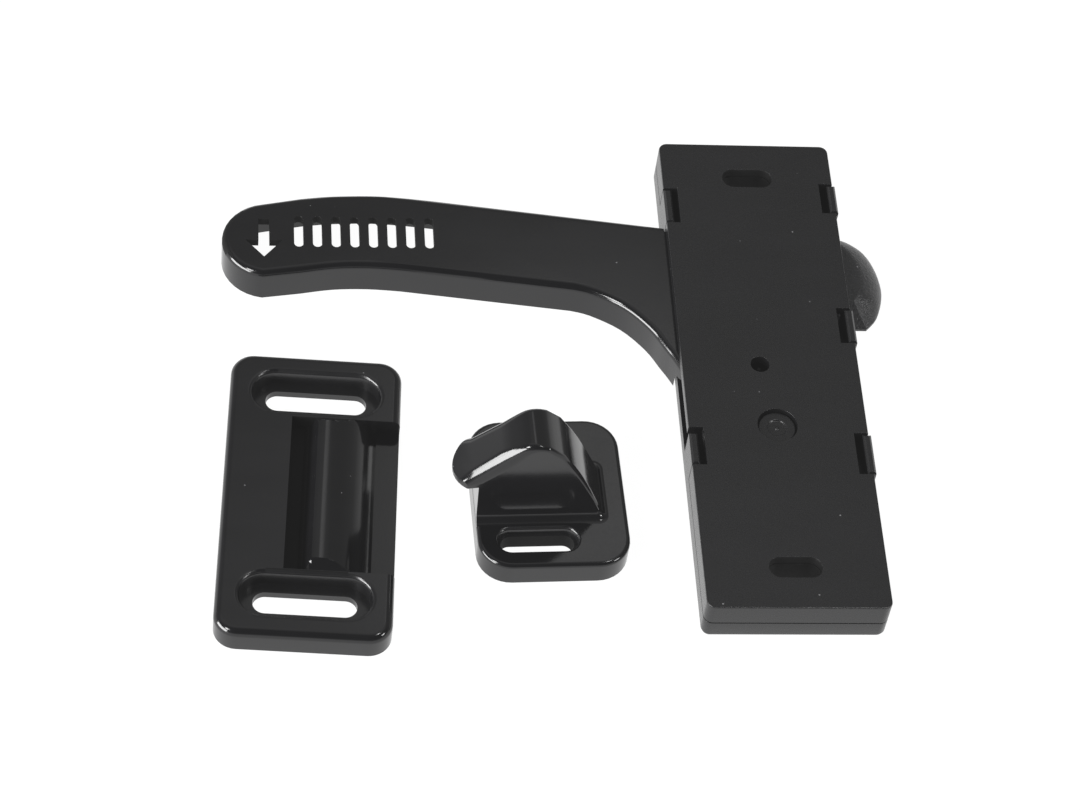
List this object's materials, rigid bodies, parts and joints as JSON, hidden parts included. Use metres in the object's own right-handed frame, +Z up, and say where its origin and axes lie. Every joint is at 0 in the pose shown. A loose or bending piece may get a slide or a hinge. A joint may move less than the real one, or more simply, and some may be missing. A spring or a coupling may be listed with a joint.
{
  "type": "lever latch set",
  "caption": "Sprung lever latch with a flat case, curved push handle and ramped bolt, laid out beside its strike plate and hooked catch.",
  "frame": {"origin": "centre of the laid-out set's footprint, on the surface that the pieces lie on", "axes": "+X from the tip of the handle towards the latch bolt, +Y along the case away from the pivot, +Z up from the surface; the case lies on its front face, with its mounting face on top"},
  "size_m": [0.1576, 0.1386, 0.0309],
  "materials": {
    "satin_black_case": "satin moulded",
    "satin_black_cover": "satin moulded",
    "satin_black_pin": "satin moulded",
    "spring_steel": "drawn wire",
    "gloss_black_lever": "polished moulded",
    "grey_black_bolt": "fine grained",
    "rivet_steel": "plain",
    "gloss_black_strike": "polished moulded",
    "gloss_black_catch": "polished moulded"
  },
  "bodies": {
    "housing": {"front_housing": "satin_black_case", "back_cover": "satin_black_cover", "pivot_pin": "satin_black_pin", "return_spring": "spring_steel"},
    "lever": {"lever_handle": "gloss_black_lever", "latch_bolt": "grey_black_bolt", "bolt_rivet_1": "rivet_steel", "bolt_rivet_2": "rivet_steel"},
    "strike": {"strike_plate": "gloss_black_strike"},
    "catch": {"door_catch": "gloss_black_catch"}
  },
  "joints": [
    {"name": "lever_pivot", "type": "hinge", "parent": "housing", "child": "lever", "pos_m": [0.04795, -0.01488, 0], "axis": [0, 0, 1], "range_deg": [0, 10.5], "stiffness_Nm_per_rad": 0.05, "springref_deg": -57.3, "deforming": ["return_spring"]},
    {"name": "strike_lift", "type": "slide", "parent": "housing", "child": "strike", "axis": [0, 0, 1], "range_m": [0, 0.05]},
    {"name": "catch_lift", "type": "slide", "parent": "housing", "child": "catch", "axis": [0, 0, 1], "range_m": [0, 0.05]}
  ]
}
